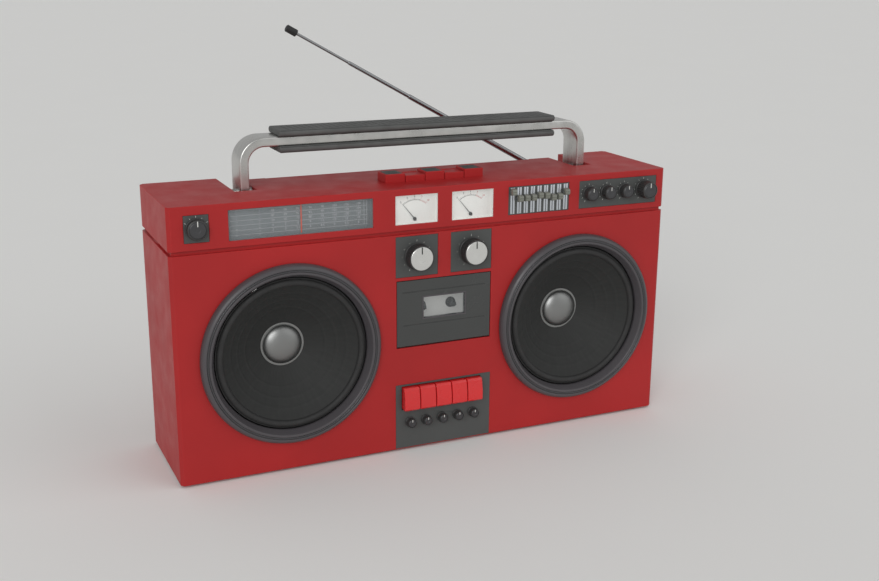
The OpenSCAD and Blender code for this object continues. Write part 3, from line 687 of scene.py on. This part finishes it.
def build_dial():
    """Trays of all three scales, and the tuning scale's plate with its printed rows."""
    low_x, high_x = DIAL_X
    trays = refined("dial_faces", DIAL, 0.2)
    trays.data.materials.append(METER)
    for polygon in trays.data.polygons:
        polygon.material_index = int(polygon.center.x > (high_x + 5) * MM)
    scale_plate("dial_plate", DIAL_X, DIAL)
    bm = bmesh.new()
    width = high_x - low_x
    y = PRINT_Y
    for share in (0.065, 0.22):
        for step in range(16):
            mark(bm, low_x + width * share, BAND_Z - 15 + step * 2, 0.9 if step % 4 else 2.2, 0.5, y)
    start, end = low_x + 0.31 * width, low_x + 0.91 * width
    rows = ((12.0, ("88", "90", "92", "94", "98", "102", "106", "108")),
            (6.2, ("87", "89", "91", "93", "97", "101", "105", "109")),
            (0.4, ("54", "60", "70", "80", "95", "110", "130", "160")),
            (-5.4, ("6", "7", "8", "9", "11", "13", "15", "18")),
            (-11.2, ("2", "3", "3.5", "4", "4.5", "5", "5.5", "6")))
    for offset, numbers in rows:
        z = BAND_Z + offset
        mark(bm, (low_x + high_x) / 2, z - 3.0, width - 9, 0.35, y)
        for step in range(43):
            mark(bm, start + (end - start) * step / 42, z - 2.4, 0.25, 1.6 if step % 6 == 0 else 0.9, y)
        for step, number in enumerate(numbers):
            lettering(bm, number, start + (end - start) * step / (len(numbers) - 1), z + 0.2, y - 0.05, 3.0)
    mark(bm, (low_x + high_x) / 2, BAND_Z + 15.6, width - 9, 0.35, y)
    for share in (0.95, 0.97):
        mark(bm, low_x + width * share, BAND_Z, 0.5, 30, y)
    add_piece("dial_printing", bm, PRINT_GREY, "cabinet")


def build_meter(index, span):
    """Plate, arc, ticks and numerals of a level meter, red towards the top of its range."""
    x = (span[0] + span[1]) / 2
    name = "meter_%d" % index
    scale_plate(name + "_plate", span, METER)
    black, red = bmesh.new(), bmesh.new()
    arc_r, tick_count, dash_count = 24.0, 20, 39

    def on_arc(angle, radius):
        return x + radius * math.sin(angle), METER_PIVOT_Z + radius * math.cos(angle)

    for step in range(tick_count + 1):
        angle = math.radians(-NEEDLE_SWEEP + 2 * NEEDLE_SWEEP * step / tick_count)
        target = red if step > 14 else black
        numbered = step % 5 == 0
        length = 3.0 if numbered else 1.6
        mark(target, *on_arc(angle, arc_r + length / 2), 0.35, length, PRINT_Y, angle)
        if numbered:
            lettering(target, str(step // 2), *on_arc(angle, arc_r + 5.0), PRINT_Y - 0.05, 2.6)
    for step in range(dash_count + 1):
        angle = math.radians(-39 + 78 * step / dash_count)
        target = red if step > 28 else black
        mark(target, *on_arc(angle, arc_r), 0.95, 0.35, PRINT_Y, angle)
    add_piece(name + "_scale", black, PRINT_BLACK, "cabinet")
    add_piece(name + "_red_scale", red, PRINT_RED, "cabinet")


def build_needle(side, span):
    """Tapered needle on a round hub."""
    node = "needle_" + side
    x, y, z = (span[0] + span[1]) / 2, TRAY_Y - 1.6, METER_PIVOT_Z
    bm = bmesh.new()
    outline = ((-0.55, -3.0), (0.55, -3.0), (0.16, 24.6), (-0.16, 24.6))
    turn = Matrix.Translation(Vector((x, y, z)) * MM) @ Matrix.Rotation(math.radians(-NEEDLE_SWEEP), 4, "Y")
    for depth in (-0.3, 0.3):
        verts = [bm.verts.new(turn @ (Vector((a, depth, b)) * MM)) for a, b in outline]
        bm.faces.new(verts)
    bm.verts.ensure_lookup_table()
    for corner in range(4):
        after = (corner + 1) % 4
        bm.faces.new([bm.verts[corner], bm.verts[after], bm.verts[after + 4], bm.verts[corner + 4]])
    profile = rounded([(2.4, -0.6), (2.4, 0.4), (1.8, 0.9), (0.02, 1.0)], 0.3)
    hub = lathe(profile, towards_listener(x, z, y), 32)
    shell = bpy.data.meshes.new("hub")
    hub.to_mesh(shell)
    hub.free()
    bm.from_mesh(shell)
    bpy.data.meshes.remove(shell)
    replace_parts(add_piece(node + "_blade", bm, PRINT_BLACK, node), node)


def build_meters():
    for index, span in enumerate(METER_X):
        build_meter(index + 1, span)
    build_needle("left", METER_X[0])
    build_needle("right", METER_X[1])
    refined("tuning_pointer", POINTER, 0.2)


# ---- cassette door ----

def open_window(bm):
    """Takes the clear web out of the door's window, where a separate pane stands for it."""
    reach = Vector((WINDOW_W / 2 + 0.1, 1.6, WINDOW_H / 2 + 0.1)) * MM
    center = Vector((CENTER_X, box_mm("cassette_door")[0].y, WINDOW_Z)) * MM
    bm.normal_update()

    def in_window(vert):
        offset = vert.co - center
        return abs(offset.x) < reach.x and abs(offset.y) < reach.y and abs(offset.z) < reach.z

    flat = [face for face in bm.faces if abs(face.normal.y) > 0.9]
    web = [face for face in flat if all(in_window(vert) for vert in face.verts)]
    bmesh.ops.delete(bm, geom=web, context="FACES")
    bmesh.ops.bridge_loops(bm, edges=[edge for edge in bm.edges if edge.is_boundary])


def build_door():
    refined("cassette_door", DOOR, 0.5, cut=open_window)
    y = box_mm("cassette_door")[0].y
    low_x, high_x = CENTER_X - WINDOW_W / 2, CENTER_X + WINDOW_W / 2
    low_z, high_z = WINDOW_Z - WINDOW_H / 2, WINDOW_Z + WINDOW_H / 2
    bm = bmesh.new()
    slab(bm, (low_x + 0.05, y + 0.45, low_z + 0.05), (high_x - 0.05, y + 1.35, high_z - 0.05), 0.1)
    add_piece("door_pane", bm, WINDOW, "cassette_door")
    bm = bmesh.new()
    border(bm, (low_x, low_z), (high_x, high_z), 2.0, y - 0.4, y + 0.4, 0.3)
    add_piece("door_bezel", bm, RIM, "cassette_door")
    for side in ("left", "right"):
        refined("reel_" + side, REEL, 0.3, 3)
    # The well plate glows, painted light that makes the window in the door read bright.
    bm = bmesh.new()
    well_y = FRONT_Y + 29.05
    slab(bm, (CENTER_X - 60, well_y - 0.65, 146), (CENTER_X + 60, well_y, 228), 0.2)
    add_piece("well_plate", bm, WELL_PLATE, "cabinet")


# ---- handle and antenna ----

def strap_section(thick, half_depth, radius, steps=5):
    """Rounded rectangle across the strap, as (along the thickness, along the depth)."""
    radius = min(radius, half_depth * 0.9)
    points = []
    for corner, (u, v) in enumerate(((1, 1), (-1, 1), (-1, -1), (1, -1))):
        for step in range(steps):
            angle = math.radians(90 * corner + 90 * step / (steps - 1))
            points.append((u * (thick / 2 - radius) + radius * math.cos(angle),
                           v * (half_depth - radius) + radius * math.sin(angle)))
    return points


def strap_path(left, right, foot, top, end_r):
    """Middle line of the strap, up one leg and down the other: (x, z, heading, distance past the pivot)."""
    past = [end_r * math.cos(math.pi / 2 * step / 10) for step in range(10)]
    path = [(left, foot - drop, 90.0, drop) for drop in past]
    leg_top = top - STRAP_BEND_R
    path += [(left, foot + (leg_top - foot) * step / 4, 90.0, 0.0) for step in range(5)]
    for step in range(1, 17):
        turn = math.pi / 2 * step / 16
        x = left + STRAP_BEND_R * (1 - math.cos(turn))
        path.append((x, leg_top + STRAP_BEND_R * math.sin(turn), 90.0 - math.degrees(turn), 0.0))
    return path + [(left + right - x, z, -heading, drop) for x, z, heading, drop in reversed(path)]


def build_bail():
    """Flat strap bent into a U, swept along its middle line, with round ends on the pivots."""
    low, high = box_mm("handle_bail")
    pivot = JOINT_AT["handle_fold"]
    half = (high.y - low.y) / 2
    end_r = pivot.z - low.z
    side, top = STRAP_T / 2, high.z - STRAP_T / 2
    bm = bmesh.new()
    rings = []
    for x, z, heading, drop in strap_path(low.x + side, high.x - side, pivot.z, top, end_r):
        angle = math.radians(heading)
        width = min(half, math.sqrt(max(0.0, end_r ** 2 - drop ** 2)) + 0.5) if drop else half
        ring = []
        for u, v in strap_section(STRAP_T, width, 2.2):
            point = Vector((x - u * math.sin(angle), pivot.y + v, z + u * math.cos(angle)))
            ring.append(bm.verts.new(point * MM))
        rings.append(ring)
    for before, after in zip(rings, rings[1:]):
        for index in range(len(before)):
            follow = (index + 1) % len(before)
            bm.faces.new((before[index], before[follow], after[follow], after[index]))
    for ring in (rings[0], rings[-1]):
        bm.faces.new(ring)
    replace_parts(add_piece("handle_strap", bm, STRAP, "handle", 60), "handle_bail")


def build_handle():
    build_bail()
    refined("handle_grips", GRIP, 1.6, 4, 20)
    low, high = box_mm("handle_grips")
    bm = bmesh.new()
    count = 46
    for step in range(count):
        x = low.x + 14 + (high.x - low.x - 28) * step / (count - 1)
        slab(bm, (x - 1.6, low.y + 5, high.z - 0.4), (x + 1.6, high.y - 5, high.z + 0.45), 0.4)
    add_piece("grip_ribs", bm, GRIP, "handle")


def antenna_outline(index, base, end):
    """Profile of one antenna section: open tubes with a rolled lip, and a plain rod for the innermost."""
    radius = 4.0 - 0.7 * index
    if index == 0:
        return [(3.3, 6.0), (4.0, 6.0), (4.0, end - 4), (3.85, end - 3.2), (3.95, end - 2.2),
                (3.7, end - 0.6), (3.45, end), (3.36, end), (3.36, 12.0)]
    if index < 3:
        return [(radius, base), (radius, end - 3), (radius - 0.14, end - 2.4), (radius - 0.06, end - 1.6),
                (radius - 0.25, end - 0.4), (radius - 0.55, end), (radius - 0.64, end), (radius - 0.64, base),
                (radius, base)]
    return [(0.02, base), (1.9, base), (1.9, end)]


def build_antenna():
    """Swivel with a knuckle, four sections and a knurled cap, along a line that leans from upright."""
    place = Matrix.Translation(JOINT_AT["antenna_swing"] * MM)
    place = place @ Matrix.Rotation(math.radians(ANTENNA_LEAN - 90), 4, "Y")
    refined("antenna_swivel", ROD, 0.4, 3)
    sections = (("antenna_tube", 0.0, 186.0), ("antenna_section_2", 171.0, 108.0),
                ("antenna_section_3", 264.0, 114.0), ("antenna_tip", 363.0, 96.0))
    for index, (name, base, length) in enumerate(sections):
        bm = lathe(antenna_outline(index, base, base + length), place, 48)
        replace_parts(add_piece(name + "_rod", bm, ROD, name, 40), name)
    tip = sections[-1][1] + sections[-1][2]
    outline = rounded([(1.95, tip + 0.05), (3.0, tip + 0.05), (4.8, tip + 0.5), (4.8, tip + 15.0),
                       (3.6, tip + 15.9), (0.02, tip + 15.9)], 0.6)
    barrel = range(8, 14)

    def knurl(angle, index):
        return 0.22 * (0.5 - 0.5 * math.cos(24 * angle)) if index in barrel else 0.0

    add_piece("antenna_cap", lathe(outline, place, 96, knurl), DARK, "antenna_tip", 40)
    knuckle = [(0.02, -4.3), (4.6, -4.3), (5.2, -3.7), (5.2, 3.7), (4.6, 4.3), (0.02, 4.3)]
    bm = lathe(knuckle, place @ Matrix.Rotation(math.radians(90), 4, "Y"), 48)
    add_piece("antenna_knuckle", bm, ROD, "antenna_tube", 40)


# ---- stage ----

def sun(name, strength, angle, heading, height):
    """Soft sun of angle degrees across, from a heading off straight ahead and a height above the floor."""
    light = bpy.data.lights.new(name, "SUN")
    light.energy = strength
    light.angle = math.radians(angle)
    lamp = bpy.data.objects.new(name, light)
    turn, rise = math.radians(heading), math.radians(height)
    direction = Vector((math.sin(turn) * math.cos(rise), -math.cos(turn) * math.cos(rise), math.sin(rise)))
    lamp.rotation_euler = direction.to_track_quat("Z", "Y").to_euler()
    SCENE.collection.objects.link(lamp)


def build_stage():
    """Pale paper floor, an even white sky and two soft suns."""
    bm = bmesh.new()
    bmesh.ops.create_grid(bm, x_segments=8, y_segments=8, size=40.0)
    mesh = bpy.data.meshes.new("floor")
    bm.to_mesh(mesh)
    bm.free()
    floor = bpy.data.objects.new("floor", mesh)
    SCENE.collection.objects.link(floor)
    s = Shader("floor_paper")
    pale = rgb(243, 243, 241)
    tone = s.mix(s.noise(3.0, 3.0), shaded(pale, 0.985), shaded(pale, 1.0))
    s.link(tone, s.principled.inputs["Base Color"])
    s.set(Roughness=0.9)
    mesh.materials.append(s.material)
    world = bpy.data.worlds.new("studio")
    SCENE.world = world
    world.use_nodes = True
    background = world.node_tree.nodes["Background"]
    background.inputs["Color"].default_value = (1.0, 1.0, 1.0, 1.0)
    background.inputs["Strength"].default_value = 0.45

    sun("key", 1.05, 35, -35, 25)
    sun("fill", 0.45, 60, 50, 30)


def build_camera():
    """The photograph's view: position, heading, downward tilt, slight roll and lens."""
    heading, tilt, roll = math.radians(24.54), math.radians(16.04), math.radians(0.426)
    level = math.cos(tilt)
    forward = Vector((math.sin(heading) * level, math.cos(heading) * level, -math.sin(tilt)))
    right = forward.cross(Vector((0, 0, 1))).normalized()
    up = right.cross(forward)
    turned_right = right * math.cos(roll) + up * math.sin(roll)
    turned_up = up * math.cos(roll) - right * math.sin(roll)
    lens = bpy.data.cameras.new("camera")
    lens.sensor_width = 36.0
    lens.lens = 48.56
    lens.clip_end = 200.0
    camera = bpy.data.objects.new("camera", lens)
    axes = Matrix((turned_right, turned_up, -forward)).transposed()
    camera.matrix_world = Matrix.Translation((-0.60404, -1.40771, 0.63343)) @ axes.to_4x4()
    SCENE.collection.objects.link(camera)
    SCENE.camera = camera


build_camera()
build_stage()
build_casing()
build_back_trim()
build_rims()
for speaker_side, speaker_x in SPEAKER_X.items():
    build_cone(speaker_side, speaker_x)
build_knobs()
build_keys()
build_sliders()
build_dial()
build_meters()
build_door()
build_handle()
build_antenna()
SCENE.view_settings.view_transform = "Standard"
